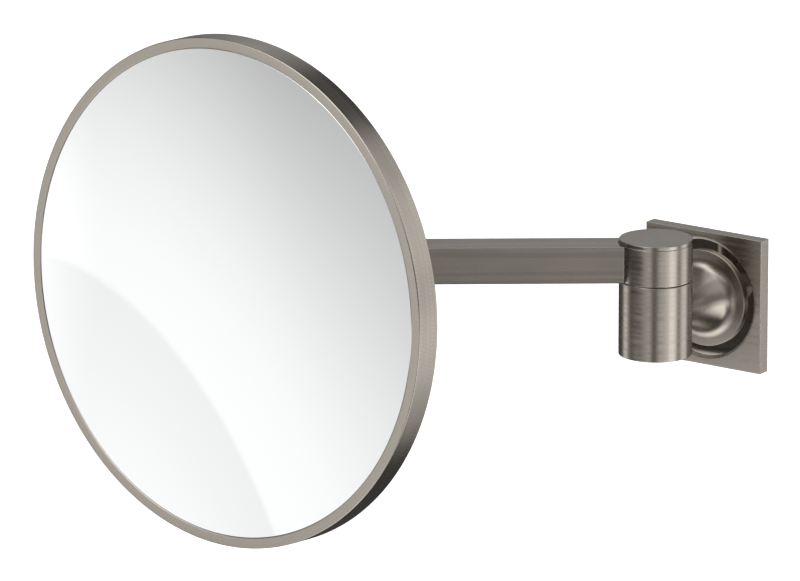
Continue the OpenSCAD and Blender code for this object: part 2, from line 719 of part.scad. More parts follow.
// Half of the back cover's outline: a shallow dish with a rounded outer edge and a centre hole
module cover_outline() {
  bend = carrier_r - cover_round;
  difference() {
    union() {
      translate([cover_hole_r, carrier_back])
        square([carrier_r - cover_hole_r, cover_back - carrier_back - cover_round]);
      translate([cover_hole_r, carrier_back])
        square([bend - cover_hole_r, cover_back - carrier_back]);
      translate([bend, cover_back - cover_round]) intersection() {
        circle(r = cover_round, $fn = 90);
        square(cover_round);
      }
    }
    translate([cover_hole_r + cover_wall, carrier_back - tip])
      square([carrier_r - cover_hole_r - 2 * cover_wall, cover_back - carrier_back - cover_wall + tip]);
  }
}

module cover_screws()
  color(steel) at_mirror() around(4, cover_boss_pcd) translate([0, 0, cover_back])
    sunk_screw(cover_screw_d / 2, cover_back - carrier_d - end_gap, cover_screw_d * 0.55);

wall_plate();
wall_bracket();
clamp_screw();
post();
tie_bolt();
dowel_pins();
lower_housing();
lower_bush();
friction_washer();
pivot_bolt();
flat_washer();
spring_washers();
lock_nut();
bottom_cap();
upper_housing();
upper_bush();
thrust_washer();
top_cap();
arm_bar();
arm_grub_screws();
end_eye();
swivel_bush();
swivel_yoke();
swivel_washers();
swivel_bolt();
swivel_spring_washer();
swivel_cap_nut();
tilt_bush();
mirror_bracket();
tilt_washers();
tilt_bolt();
tilt_spring_washer();
tilt_nut();
bracket_screws();
carrier_plate();
carrier_screws();
backing_pad();
mirror_glass();
mirror_frame();
back_cover();
cover_screws();
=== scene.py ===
"""Looks of a wall-held shaving mirror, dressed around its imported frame.

Each sub-assembly is a class that holds its sizes in metres, builds the meshes that are seen and gives
them their finish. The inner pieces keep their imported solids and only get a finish.
"""

import json
import logging
import math
from collections.abc import Callable, Sequence
from dataclasses import dataclass, field
from enum import Enum

import bmesh
import bpy
from mathutils import Matrix, Vector

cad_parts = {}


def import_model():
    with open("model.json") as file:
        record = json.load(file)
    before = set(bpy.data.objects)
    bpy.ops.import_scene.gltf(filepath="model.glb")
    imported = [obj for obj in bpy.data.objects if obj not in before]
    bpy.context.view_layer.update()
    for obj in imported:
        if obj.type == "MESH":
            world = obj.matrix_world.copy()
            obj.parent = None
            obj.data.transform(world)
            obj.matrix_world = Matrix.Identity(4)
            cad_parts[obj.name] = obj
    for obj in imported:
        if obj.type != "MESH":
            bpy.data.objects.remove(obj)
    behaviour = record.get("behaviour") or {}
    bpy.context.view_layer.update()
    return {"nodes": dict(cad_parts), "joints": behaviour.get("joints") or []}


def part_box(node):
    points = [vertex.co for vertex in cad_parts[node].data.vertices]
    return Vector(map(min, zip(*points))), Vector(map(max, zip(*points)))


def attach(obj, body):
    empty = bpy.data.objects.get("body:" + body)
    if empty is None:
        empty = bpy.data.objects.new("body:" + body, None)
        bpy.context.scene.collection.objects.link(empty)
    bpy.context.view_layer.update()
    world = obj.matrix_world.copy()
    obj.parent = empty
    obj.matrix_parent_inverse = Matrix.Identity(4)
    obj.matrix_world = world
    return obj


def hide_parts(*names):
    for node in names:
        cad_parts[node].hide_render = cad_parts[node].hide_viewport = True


LOG = logging.getLogger("shaving_mirror")
MM = 0.001
EDGE_LAYER = "edge"
SHARP_ANGLE = 40
HEAD_LEAN = 2.0
HEAD_DROP = 0.5 * MM
HEAD_AHEAD = 26 * MM

Point = tuple[float, float]
Colour = tuple[float, float, float]


class Body(str, Enum):
    """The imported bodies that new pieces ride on."""

    WALL = "wall_mount"
    ARM = "arm"
    HEAD = "mirror_head"


class Slot(str, Enum):
    """The record's material slot names, given with each new piece."""

    SATIN = "satin_graphite"
    TURNED = "turned_graphite"
    GLASS = "silvered_glass"


class Lay(Enum):
    """Which way the fine lines of a machined or brushed surface run."""

    STRAIGHT = "straight"
    AROUND = "around"


# ---- Places ------------------------------------------------------------------------------


def axes(x: Vector, z: Vector, origin: Vector) -> Matrix:
    """Makes a place from two of its directions.

    Args:
        x: Direction of the place's X axis.
        z: Direction of its Z axis, square to x.
        origin: Where the place's zero lies in the frame.

    Returns:
        The matrix that carries local points into the frame.
    """
    x, z = x.normalized(), z.normalized()
    y = z.cross(x)
    place = Matrix((x, y, z)).transposed().to_4x4()
    place.translation = origin
    return place


@dataclass(frozen=True)
class Places:
    """The local places that the sub-assemblies are built in."""

    wall: Matrix
    hinge: Matrix
    arm: Matrix
    end: Matrix
    tilt: Matrix
    reach: float

    @classmethod
    def from_joints(cls, joints: Sequence[dict]) -> "Places":
        """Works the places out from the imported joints.

        Args:
            joints: The frame's joints, each with its position and axis.

        Returns:
            The places, at rest.
        """
        spot = {j["name"]: Vector(j["pos_m"]) for j in joints}
        tilt_axis = Vector(next(j["axis"] for j in joints if j["name"] == "mirror_tilt"))
        up, side = Vector((0, 0, 1)), Vector((1, 0, 0))
        swing, swivel, tilt = (spot[n] for n in ("arm_swing", "mirror_swivel", "mirror_tilt"))
        along = swivel - swing
        hinge = Vector((swing.x, swing.y, 0))
        return cls(
            wall=axes(side, Vector((0, -1, 0)), Vector()),
            hinge=axes(side, up, hinge),
            arm=axes(along, up, hinge),
            end=axes(along, up, swivel),
            tilt=axes(tilt_axis, up, tilt),
            reach=along.length,
        )


# ---- Mesh work ---------------------------------------------------------------------------


def arc(centre: Point, radius: float, start: float, end: float, steps: int) -> list[Point]:
    """Points along a round stretch of an outline.

    Args:
        centre: Centre of the arc.
        radius: Its radius.
        start: Angle of the first point, in degrees.
        end: Angle of the last point, in degrees.
        steps: How many straight pieces the arc is made of.

    Returns:
        The arc's points, both ends included.
    """
    turns = [math.radians(start + (end - start) * i / steps) for i in range(steps + 1)]
    return [(centre[0] + radius * math.cos(t), centre[1] + radius * math.sin(t)) for t in turns]


def circle(radius: float) -> Callable[[float], Point]:
    """An outline that is a circle, as a function of the angle."""
    return lambda t: (radius * math.cos(t), radius * math.sin(t))


def square(half: float) -> Callable[[float], Point]:
    """An outline that is a square, as a function of the angle."""

    def at(t: float) -> Point:
        """The square's point in the direction t."""
        reach = half / max(abs(math.cos(t)), abs(math.sin(t)))
        return reach * math.cos(t), reach * math.sin(t)

    return at


def loft(rings: Sequence[tuple[Callable[[float], Point], float]], count: int) -> bmesh.types.BMesh:
    """Skins a closed run of rings, each one an outline at a height.

    Args:
        rings: Outline and height of each ring. The last ring joins the first.
        count: Points in each ring.

    Returns:
        A closed mesh with a hole along its axis.
    """
    bm = bmesh.new()
    rows = []
    for outline, height in rings:
        turns = [2 * math.pi * k / count for k in range(count)]
        rows.append([bm.verts.new((*outline(t), height)) for t in turns])
    for here, there in zip(rows, rows[1:] + rows[:1]):
        for k in range(count):
            bm.faces.new((here[k], there[k], there[k - 1], here[k - 1]))
    return bm


def lathe(profile: Sequence[Point], count: int) -> bmesh.types.BMesh:
    """Turns a profile around the local Z axis.

    Args:
        profile: Radius and height of each corner. It closes on itself, or starts and ends on the axis.
        count: Flat faces around the axis.

    Returns:
        A closed mesh.
    """
    bm = bmesh.new()
    rows = []
    for radius, height in profile:
        if radius == 0:
            rows.append([bm.verts.new((0, 0, height))])
            continue
        turns = [2 * math.pi * k / count for k in range(count)]
        rows.append([bm.verts.new((*circle(radius)(t), height)) for t in turns])
    pairs = list(zip(rows, rows[1:] + rows[:1]))
    if len(rows[0]) == len(rows[-1]) == 1:
        pairs.pop()
    for here, there in pairs:
        for k in range(count):
            corners = [here[k % len(here)], there[k % len(there)], there[k - 1 if len(there) > 1 else 0],
                       here[k - 1 if len(here) > 1 else 0]]
            bm.faces.new(list(dict.fromkeys(corners)))
    return bm


def prism(outline: Sequence[Point], low: float, high: float) -> bmesh.types.BMesh:
    """Raises an outline straight up.

    Args:
        outline: Corners of the outline, in order.
        low: Height of its lower face.
        high: Height of its upper face.

    Returns:
        A closed mesh.
    """
    bm = bmesh.new()
    lower = [bm.verts.new((*p, low)) for p in outline]
    upper = [bm.verts.new((*p, high)) for p in outline]
    bm.faces.new(lower[::-1])
    bm.faces.new(upper)
    for k in range(len(outline)):
        bm.faces.new((lower[k - 1], lower[k], upper[k], upper[k - 1]))
    return bm


def break_edges(bm: bmesh.types.BMesh, width: float, least: float = 28, steps: int = 3) -> None:
    """Rounds the sharp edges of a mesh and marks the new faces in the edge layer.

    Args:
        bm: The mesh, changed in place.
        width: Width of the rounding.
        least: Smallest angle between two faces, in degrees, that counts as sharp.
        steps: Faces across each rounding.
    """
    layer = bm.faces.layers.float.new(EDGE_LAYER)
    bmesh.ops.recalc_face_normals(bm, faces=bm.faces)
    sharp = [e for e in bm.edges if len(e.link_faces) == 2 and e.calc_face_angle() > math.radians(least)]
    made = bmesh.ops.bevel(bm, geom=sharp, offset=width, segments=steps, profile=0.5, affect="EDGES",
                           clamp_overlap=True, harden_normals=False)
    for face in made["faces"]:
        face[layer] = 1.0


def add_piece(name: str, bm: bmesh.types.BMesh, place: Matrix,
              material: bpy.types.Material) -> bpy.types.Object:
    """Turns a mesh into a shaded object.

    Args:
        name: Name of the object.
        bm: The mesh in its place's own axes. It is used up.
        place: Where those axes lie in the frame.
        material: Its first finish.

    Returns:
        The new object.
    """
    mesh = bpy.data.meshes.new(name)
    bm.to_mesh(mesh)
    bm.free()
    mesh.shade_smooth()
    mesh.set_sharp_from_angle(angle=math.radians(SHARP_ANGLE))
    mesh.materials.append(material)
    piece = bpy.data.objects.new(name, mesh)
    bpy.context.scene.collection.objects.link(piece)
    piece.matrix_world = place
    even = piece.modifiers.new("even_shading", "WEIGHTED_NORMAL")
    even.keep_sharp = True
    even.weight = 100
    return piece


def stand_in(piece: bpy.types.Object, body: Body, slot: Slot, *nodes: str) -> None:
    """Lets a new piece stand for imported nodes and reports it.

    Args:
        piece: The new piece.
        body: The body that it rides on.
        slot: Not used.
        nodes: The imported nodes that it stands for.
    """
    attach(piece, body.value)
    if nodes:
        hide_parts(*nodes)
    LOG.info("piece %s: %d faces, rides on %s, stands for %s", piece.name, len(piece.data.polygons),
             body.value, ", ".join(nodes) or "nothing")


# ---- Shader work -------------------------------------------------------------------------


@dataclass
class NodeSheet:
    """A node tree with short calls to add and join nodes."""

    tree: bpy.types.NodeTree

    def add(self, kind: str, **settings: object) -> bpy.types.Node:
        """Adds a node.

        Args:
            kind: The node's type name.
            settings: Attributes to set. A dict named inputs sets unlinked sockets by name or number.

        Returns:
            The new node.
        """
        node = self.tree.nodes.new(kind)
        values = settings.pop("inputs", {})
        for key, value in settings.items():
            setattr(node, key, value)
        for key, value in values.items():
            node.inputs[key].default_value = value
        return node

    def join(self, source: bpy.types.NodeSocket, target: bpy.types.NodeSocket) -> None:
        """Joins an output socket to an input socket."""
        self.tree.links.new(source, target)

    def math(self, operation: str, a: object, b: object = 0.0, clamp: bool = False) -> bpy.types.NodeSocket:
        """Adds a maths node.

        Args:
            operation: Its operation.
            a: A socket or a number.
            b: A socket or a number.
            clamp: Whether the result is kept between 0 and 1.

        Returns:
            The result's socket.
        """
        node = self.add("ShaderNodeMath", operation=operation, use_clamp=clamp)
        for value, target in zip((a, b), node.inputs):
            if isinstance(value, bpy.types.NodeSocket):
                self.join(value, target)
            else:
                target.default_value = value
        return node.outputs[0]

    def span(self, value: bpy.types.NodeSocket, low: float, high: float, to_low: float,
             to_high: float) -> bpy.types.NodeSocket:
        """Maps one range smoothly onto another.

        Args:
            value: The socket that is mapped.
            low: Its value at the start.
            high: Its value at the end.
            to_low: The result at the start.
            to_high: The result at the end.

        Returns:
            The result's socket.
        """
        node = self.add("ShaderNodeMapRange", interpolation_type="SMOOTHSTEP", inputs={
            "From Min": low, "From Max": high, "To Min": to_low, "To Max": to_high})
        self.join(value, node.inputs["Value"])
        return node.outputs["Result"]

    def noise(self, vector: bpy.types.NodeSocket, w: object, scale: float, detail: float,
              roughness: float) -> bpy.types.NodeSocket:
        """Adds a four-dimensional noise.

        Args:
            vector: Where it is read.
            w: Its fourth coordinate, a socket or a number.
            scale: Its fineness.
            detail: How many finer layers it has.
            roughness: How strong the finer layers are.

        Returns:
            The noise's value, around one half.
        """
        node = self.add("ShaderNodeTexNoise", noise_dimensions="4D", inputs={
            "Scale": scale, "Detail": detail, "Roughness": roughness})
        self.join(vector, node.inputs["Vector"])
        if isinstance(w, bpy.types.NodeSocket):
            self.join(w, node.inputs["W"])
        else:
            node.inputs["W"].default_value = w
        return node.outputs["Fac"]


class EffectLibrary:
    """The effects that several finishes share, each one a node group that is built once."""

    # pitch of each layer of lines, and how many finer layers it has
    FINE = (0.11 * MM, 2.0)
    MIDDLE = (0.6 * MM, 0.0)
    BROAD = (2.0 * MM, 0.0)
    LINE_ROUGHNESS = 0.6
    FINE_SHARE = 0.6
    BROAD_SHARE = 0.4
    # breakup of the lighter edge colour, which is partly wear and partly a painted highlight
    WEAR_AND_SHEEN_SCALE = 260.0
    LEAST_WEAR_AND_SHEEN = 0.35
    CLOUD_SCALE = 55.0

    def __init__(self) -> None:
        """Builds every group."""
        self.lays = {Lay.STRAIGHT: self._straight_lay(), Lay.AROUND: self._turned_lay()}
        self.grain = self._brushed_grain()
        self.wear_and_sheen = self._edge_wear_and_sheen()
        self.handling = self._handling()

    @staticmethod
    def _group(name: str, inputs: dict[str, object], outputs: dict[str, str]) -> tuple[
            bpy.types.NodeTree, NodeSheet, bpy.types.Node, bpy.types.Node]:
        """Starts a group.

        Args:
            name: Its name.
            inputs: Each input's first value. None stands for a vector.
            outputs: Each output's socket type.

        Returns:
            The group, its sheet, its input node and its output node.
        """
        tree = bpy.data.node_groups.new(name, "ShaderNodeTree")
        for key, value in inputs.items():
            kind = "NodeSocketVector" if value is None else "NodeSocketFloat"
            socket = tree.interface.new_socket(name=key, in_out="INPUT", socket_type=kind)
            if value is not None:
                socket.default_value = value
        for key, kind in outputs.items():
            tree.interface.new_socket(name=key, in_out="OUTPUT", socket_type=kind)
        sheet = NodeSheet(tree)
        return tree, sheet, sheet.add("NodeGroupInput"), sheet.add("NodeGroupOutput")

    def _straight_lay(self) -> bpy.types.NodeTree:
        """Reads a point so that lines run along X.

        Returns:
            A group that puts out a squeezed point and a fourth coordinate.
        """
        tree, sheet, given, result = self._group(
            "straight_lay", {"Vector": None, "Stretch": 0.01},
            {"Vector": "NodeSocketVector", "W": "NodeSocketFloat"})
        parts = sheet.add("ShaderNodeSeparateXYZ")
        sheet.join(given.outputs["Vector"], parts.inputs[0])
        packed = sheet.add("ShaderNodeCombineXYZ")
        sheet.join(sheet.math("MULTIPLY", parts.outputs["X"], given.outputs["Stretch"]), packed.inputs["X"])
        sheet.join(parts.outputs["Y"], packed.inputs["Y"])
        sheet.join(parts.outputs["Z"], packed.inputs["Z"])
        sheet.join(packed.outputs[0], result.inputs["Vector"])
        return tree

    def _turned_lay(self) -> bpy.types.NodeTree:
        """Reads a point so that lines run around the Z axis.

        Returns:
            A group that puts out a point on a squeezed circle, and the radius as fourth coordinate.
        """
        tree, sheet, given, result = self._group(
            "turned_lay", {"Vector": None, "Stretch": 0.01},
            {"Vector": "NodeSocketVector", "W": "NodeSocketFloat"})
        parts = sheet.add("ShaderNodeSeparateXYZ")
        sheet.join(given.outputs["Vector"], parts.inputs[0])
        flat = sheet.math("ADD", sheet.math("MULTIPLY", parts.outputs["X"], parts.outputs["X"]),
                          sheet.math("MULTIPLY", parts.outputs["Y"], parts.outputs["Y"]))
        radius = sheet.math("SQRT", flat)
        packed = sheet.add("ShaderNodeCombineXYZ")
        sheet.join(sheet.math("MULTIPLY", parts.outputs["X"], given.outputs["Stretch"]), packed.inputs["X"])
        sheet.join(sheet.math("MULTIPLY", parts.outputs["Y"], given.outputs["Stretch"]), packed.inputs["Y"])
        sheet.join(parts.outputs["Z"], packed.inputs["Z"])
        sheet.join(packed.outputs[0], result.inputs["Vector"])
        sheet.join(radius, result.inputs["W"])
        return tree

    def _brushed_grain(self) -> bpy.types.NodeTree:
        """Fine brushed lines with broader streaks between them.

        Returns:
            A group with the lines' tone, their height and a broad streak mask.
        """
        tree, sheet, given, result = self._group(
            "brushed_grain", {"Vector": None, "W": 0.0, "Broad": self.BROAD_SHARE},
            {"Tone": "NodeSocketFloat", "Height": "NodeSocketFloat", "Streak": "NodeSocketFloat"})
        spot, w = given.outputs["Vector"], given.outputs["W"]
        layers = []
        for pitch, detail in (self.FINE, self.MIDDLE, self.BROAD):
            scaled = sheet.math("MULTIPLY", w, 1 / pitch)
            layers.append(sheet.noise(spot, scaled, 1 / pitch, detail, self.LINE_ROUGHNESS))
        fine, middle, broad = layers
        lines = sheet.math("ADD", sheet.math("MULTIPLY", fine, self.FINE_SHARE),
                           sheet.math("MULTIPLY", middle, 1 - self.FINE_SHARE))
        mixed = sheet.add("ShaderNodeMix", data_type="FLOAT")
        sheet.join(given.outputs["Broad"], mixed.inputs[0])
        sheet.join(middle, mixed.inputs[2])
        sheet.join(broad, mixed.inputs[3])
        sheet.join(sheet.span(mixed.outputs[0], 0.3, 0.7, 0.0, 1.0), result.inputs["Tone"])
        sheet.join(lines, result.inputs["Height"])
        sheet.join(sheet.span(broad, 0.35, 0.65, 0.0, 1.0), result.inputs["Streak"])
        return tree

    def _edge_wear_and_sheen(self) -> bpy.types.NodeTree:
        """Where rounded edges are made lighter, partly as rubbed wear and partly as a painted highlight,
        broken up along their length.

        Returns:
            A group with one mask.
        """
        tree, sheet, given, result = self._group(
            "edge_wear_and_sheen", {"Vector": None, "Amount": 0.5}, {"Mask": "NodeSocketFloat"})
        marked = sheet.add("ShaderNodeAttribute", attribute_name=EDGE_LAYER)
        patches = sheet.noise(given.outputs["Vector"], 0.0, self.WEAR_AND_SHEEN_SCALE, 3.0, 0.6)
        broken = sheet.span(patches, 0.36, 0.6, self.LEAST_WEAR_AND_SHEEN, 1.0)
        rubbed_and_sheen = sheet.math("MULTIPLY", marked.outputs["Fac"], broken)
        sheet.join(sheet.math("MULTIPLY", rubbed_and_sheen, given.outputs["Amount"], clamp=True), result.inputs["Mask"])
        return tree

    def _handling(self) -> bpy.types.NodeTree:
        """Faint clouds where a surface has been touched and wiped.

        Returns:
            A group with one mask around one half.
        """
        tree, sheet, given, result = self._group("handling", {"Vector": None}, {"Mask": "NodeSocketFloat"})
        cloud = sheet.noise(given.outputs["Vector"], 0.0, self.CLOUD_SCALE, 4.0, 0.55)
        sheet.join(sheet.span(cloud, 0.3, 0.7, 0.0, 1.0), result.inputs["Mask"])
        return tree


@dataclass
class Palette:
    """What the finishes share while they are made."""

    effects: EffectLibrary
    made: dict[tuple, bpy.types.Material] = field(default_factory=dict)

    def get(self, finish: "Finish", lay: Lay = Lay.AROUND, place: Matrix | None = None) -> bpy.types.Material:
        """Gives a finish's material, made at most once for each lay and place.

        Args:
            finish: The finish.
            lay: Which way its lines run.
            place: The axes that the lines follow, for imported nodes. A new piece has its own axes.

        Returns:
            The material.
        """
        spot = tuple(tuple(round(v, 6) for v in row) for row in place) if place else None
        key = (finish, lay, spot)
        if key not in self.made:
            self.made[key] = finish.build(self.effects, lay, place)
        return self.made[key]


@dataclass(frozen=True)
class Finish:
    """What every finish has: a name, a colour and a roughness."""

    name: str
    colour: Colour
    roughness: float

    def start(self) -> tuple[bpy.types.Material, NodeSheet, bpy.types.Node]:
        """Starts a material.

        Returns:
            The material, its sheet and its shader.
        """
        material = bpy.data.materials.new(self.name)
        material.use_nodes = True
        sheet = NodeSheet(material.node_tree)
        shader = next(n for n in material.node_tree.nodes if n.type == "BSDF_PRINCIPLED")
        shader.inputs["Base Color"].default_value = (*self.colour, 1)
        shader.inputs["Roughness"].default_value = self.roughness
        return material, sheet, shader

    def spot(self, sheet: NodeSheet, place: Matrix | None) -> bpy.types.NodeSocket:
        """Reads the surface point in the piece's own axes.

        Args:
            sheet: The material's sheet.
            place: The axes, if they aren't the object's.

        Returns:
            The point's socket.
        """
        point = sheet.add("ShaderNodeTexCoord").outputs["Object"]
        if place is None:
            return point
        inverse = place.inverted()
        mapping = sheet.add("ShaderNodeMapping", vector_type="POINT")
        mapping.inputs["Location"].default_value = inverse.translation
        mapping.inputs["Rotation"].default_value = inverse.to_euler()
        sheet.join(point, mapping.inputs["Vector"])
        return mapping.outputs["Vector"]

    def build(self, effects: EffectLibrary, lay: Lay, place: Matrix | None) -> bpy.types.Material:
        """Makes the material. Each kind of finish has its own way."""
        raise NotImplementedError


@dataclass(frozen=True)
class MetalFinish(Finish):
    """Bare or plated metal with machined or brushed lines."""

    # lighter edge colour and its strength: partly worn metal, partly a painted highlight on the edges
    worn_and_sheen: Colour
    contrast: float = 0.03
    depth: float = 0.025
    stretch: float = 0.012
    wear_and_sheen: float = 0.2
    lined: float = 0.6
    smoothest: float = 0.9
    roughest: float = 1.12
    wiped: float = 0.12
    relief: float = 0.01 * MM
    across: float = 0.25

    def build(self, effects: EffectLibrary, lay: Lay, place: Matrix | None) -> bpy.types.Material:
        """Makes the metal.

        Args:
            effects: The shared groups.
            lay: Which way the lines run.
            place: The axes that they follow, if they aren't the object's.

        Returns:
            The material.
        """
        material, sheet, shader = self.start()
        spot = self.spot(sheet, place)
        shader.inputs["Metallic"].default_value = 1.0
        shader.inputs["Anisotropic"].default_value = self.lined
        run = sheet.add("ShaderNodeGroup", node_tree=effects.lays[lay], inputs={"Stretch": self.stretch})
        sheet.join(spot, run.inputs["Vector"])
        grain = sheet.add("ShaderNodeGroup", node_tree=effects.grain)
        sheet.join(run.outputs["Vector"], grain.inputs["Vector"])
        sheet.join(run.outputs["W"], grain.inputs["W"])
        worn_and_sheen = sheet.add("ShaderNodeGroup", node_tree=effects.wear_and_sheen, inputs={"Amount": self.wear_and_sheen})
        sheet.join(spot, worn_and_sheen.inputs["Vector"])
        touched = sheet.add("ShaderNodeGroup", node_tree=effects.handling)
        sheet.join(spot, touched.inputs["Vector"])

        tone = sheet.add("ShaderNodeMix", data_type="RGBA", blend_type="MIX")
        dark = tuple(c * (1 - self.contrast) for c in self.colour)
        light = tuple(min(1.0, c * (1 + self.contrast)) for c in self.colour)
        tone.inputs[6].default_value = (*dark, 1)
        tone.inputs[7].default_value = (*light, 1)
        sheet.join(grain.outputs["Tone"], tone.inputs[0])
        # the rounded edges get a lighter colour: partly wear, partly a painted highlight
        edged = sheet.add("ShaderNodeMix", data_type="RGBA", blend_type="MIX")
        edged.inputs[7].default_value = (*self.worn_and_sheen, 1)
        sheet.join(worn_and_sheen.outputs["Mask"], edged.inputs[0])
        sheet.join(tone.outputs[2], edged.inputs[6])
        sheet.join(edged.outputs[2], shader.inputs["Base Color"])

        streaked = sheet.span(grain.outputs["Streak"], 0.0, 1.0, self.roughness * self.smoothest,
                              self.roughness * self.roughest)
        wiped = sheet.math("MULTIPLY", touched.outputs["Mask"], self.roughness * self.wiped)
        sheet.join(sheet.math("ADD", streaked, wiped), shader.inputs["Roughness"])

        bump = sheet.add("ShaderNodeBump", inputs={"Strength": self.depth, "Distance": self.relief})
        sheet.join(grain.outputs["Height"], bump.inputs["Height"])
        sheet.join(bump.outputs["Normal"], shader.inputs["Normal"])
        if self.lined:
            self.comb(sheet, shader, lay, place)
        return material

    def comb(self, sheet: NodeSheet, shader: bpy.types.Node, lay: Lay, place: Matrix | None) -> None:
        """Spreads the highlights across the lines.

        Args:
            sheet: The material's sheet.
            shader: Its shader.
            lay: Which way the lines run.
            place: The axes that they follow, if they aren't the object's.
        """
        if lay is Lay.STRAIGHT:
            turn = place.to_3x3() if place else Matrix.Identity(3)
            along = sheet.add("ShaderNodeVectorTransform", vector_type="VECTOR", convert_from="OBJECT",
                              convert_to="WORLD")
            along.inputs[0].default_value = turn @ Vector((1, 0, 0))
            sheet.join(along.outputs[0], shader.inputs["Tangent"])
        else:
            around = sheet.add("ShaderNodeTangent", direction_type="RADIAL", axis="Z")
            sheet.join(around.outputs[0], shader.inputs["Tangent"])
        shader.inputs["Anisotropic Rotation"].default_value = self.across


@dataclass(frozen=True)
class MirrorFinish(Finish):
    """Silvered glass, clean but for faint wiping marks."""

    wiped: float = 1.8

    def build(self, effects: EffectLibrary, lay: Lay, place: Matrix | None) -> bpy.types.Material:
        """Makes the mirror.

        Args:
            effects: The shared groups.
            lay: Not used, since glass has no lines.
            place: Not used.

        Returns:
            The material.
        """
        material, sheet, shader = self.start()
        shader.inputs["Metallic"].default_value = 1.0
        touched = sheet.add("ShaderNodeGroup", node_tree=effects.handling)
        sheet.join(self.spot(sheet, place), touched.inputs["Vector"])
        sheet.join(sheet.span(touched.outputs["Mask"], 0.0, 1.0, self.roughness, self.roughness * self.wiped),
                   shader.inputs["Roughness"])
        return material


@dataclass(frozen=True)
class CoatFinish(Finish):
    """A coat or a polymer: no lines, but a fine even texture."""

    metallic: float = 0.0
    texture: float = 900.0
    relief: float = 0.3
    grit: float = 0.02 * MM
    mottle: float = 0.12
    uneven: float = 0.12

    def build(self, effects: EffectLibrary, lay: Lay, place: Matrix | None) -> bpy.types.Material:
        """Makes the coat.

        Args:
            effects: The shared groups.
            lay: Not used.
            place: Not used.

        Returns:
            The material.
        """
        material, sheet, shader = self.start()
        shader.inputs["Metallic"].default_value = self.metallic
        spot = self.spot(sheet, place)
        grit = sheet.noise(spot, 0.0, self.texture, 3.0, 0.6)
        touched = sheet.add("ShaderNodeGroup", node_tree=effects.handling)
        sheet.join(spot, touched.inputs["Vector"])
        tone = sheet.add("ShaderNodeMix", data_type="RGBA", blend_type="MIX")
        tone.inputs[6].default_value = (*(c * (1 - self.mottle) for c in self.colour), 1)
        tone.inputs[7].default_value = (*(min(1.0, c * (1 + self.mottle)) for c in self.colour), 1)
        sheet.join(sheet.span(grit, 0.35, 0.65, 0.0, 1.0), tone.inputs[0])
        sheet.join(tone.outputs[2], shader.inputs["Base Color"])
        worked = sheet.span(touched.outputs["Mask"], 0.0, 1.0, self.roughness * (1 - self.uneven),
                            self.roughness * (1 + self.uneven))
        sheet.join(worked, shader.inputs["Roughness"])
        bump = sheet.add("ShaderNodeBump", inputs={"Strength": self.relief, "Distance": self.grit})
        sheet.join(grit, bump.inputs["Height"])
        sheet.join(bump.outputs["Normal"], shader.inputs["Normal"])
        return material


# the lighter edge colours below are partly wear and partly a painted highlight on the edges
GRAPHITE = MetalFinish("brushed_graphite", (0.40, 0.362, 0.318), 0.27, worn_and_sheen=(0.62, 0.575, 0.52))
RIM = MetalFinish("rim_graphite", (0.415, 0.381, 0.336), 0.26, worn_and_sheen=(0.6, 0.555, 0.50), wear_and_sheen=0.05)
GROOVE = MetalFinish("smooth_graphite", (0.36, 0.33, 0.295), 0.035, worn_and_sheen=(0.5, 0.46, 0.42), contrast=0.03,
                     depth=0.01, lined=0.0)
COVER = CoatFinish("cover_coat", (0.20, 0.185, 0.168), 0.38, metallic=0.6)
SILVER = MirrorFinish("silvered_glass", (0.93, 0.935, 0.94), 0.004)
ZINC = MetalFinish("zinc_plate", (0.60, 0.61, 0.62), 0.32, worn_and_sheen=(0.75, 0.75, 0.75), contrast=0.12, lined=0.3)
BRONZE = MetalFinish("bearing_bronze", (0.60, 0.44, 0.23), 0.34, worn_and_sheen=(0.8, 0.6, 0.35), lined=0.3)
BLACK = CoatFinish("black_oxide", (0.035, 0.035, 0.038), 0.34, metallic=0.9, texture=1400.0)
POLYMER = CoatFinish("black_acetal", (0.02, 0.02, 0.022), 0.5)
FOAM = CoatFinish("black_foam", (0.016, 0.016, 0.016), 0.9, texture=420.0, relief=0.8, mottle=0.4)


# ---- Sub-assemblies ----------------------------------------------------------------------


@dataclass
class WallPlate:
    """The square plate on the wall, with its round recess."""

    palette: Palette
    place: Matrix
    pocket: float = 44 * MM
    pocket_depth: float = 3 * MM
    recess_r: float = 24.9 * MM
    recess_depth: float = 1.5 * MM
    ledge: float = 0.8 * MM
    ledge_depth: float = 0.5 * MM
    boss_r: float = 8 * MM
    edge: float = 0.2 * MM
    near: float = 0.05 * MM
    count: int = 256

    def build(self) -> None:
        """Builds the plate and gives the groove in its recess a smoother finish."""
        low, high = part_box("wall_plate")
        half = (high.x - low.x) / 2
        front = -low.y
        floor = front - self.recess_depth
        rings = [
            (circle(self.boss_r), self.pocket_depth), (square(self.pocket / 2), self.pocket_depth),
            (square(self.pocket / 2), 0), (square(half), 0), (square(half), front),
            (circle(self.recess_r), front), (circle(self.recess_r), front - self.ledge_depth),
            (circle(self.recess_r - self.ledge), front - self.ledge_depth),
            (circle(self.recess_r - self.ledge), floor), (circle(self.boss_r), floor),
        ]
        bm = loft(rings, self.count)
        break_edges(bm, self.edge)
        for face in bm.faces:
            spot = face.calc_center_median()
            if abs(spot.z - floor) < self.near and spot.xy.length < self.recess_r - self.ledge:
                face.material_index = 1
        plate = add_piece("plate", bm, self.place, self.palette.get(GRAPHITE, Lay.STRAIGHT))
        plate.data.materials.append(self.palette.get(GROOVE, Lay.AROUND))
        stand_in(plate, Body.WALL, Slot.SATIN, "wall_plate")


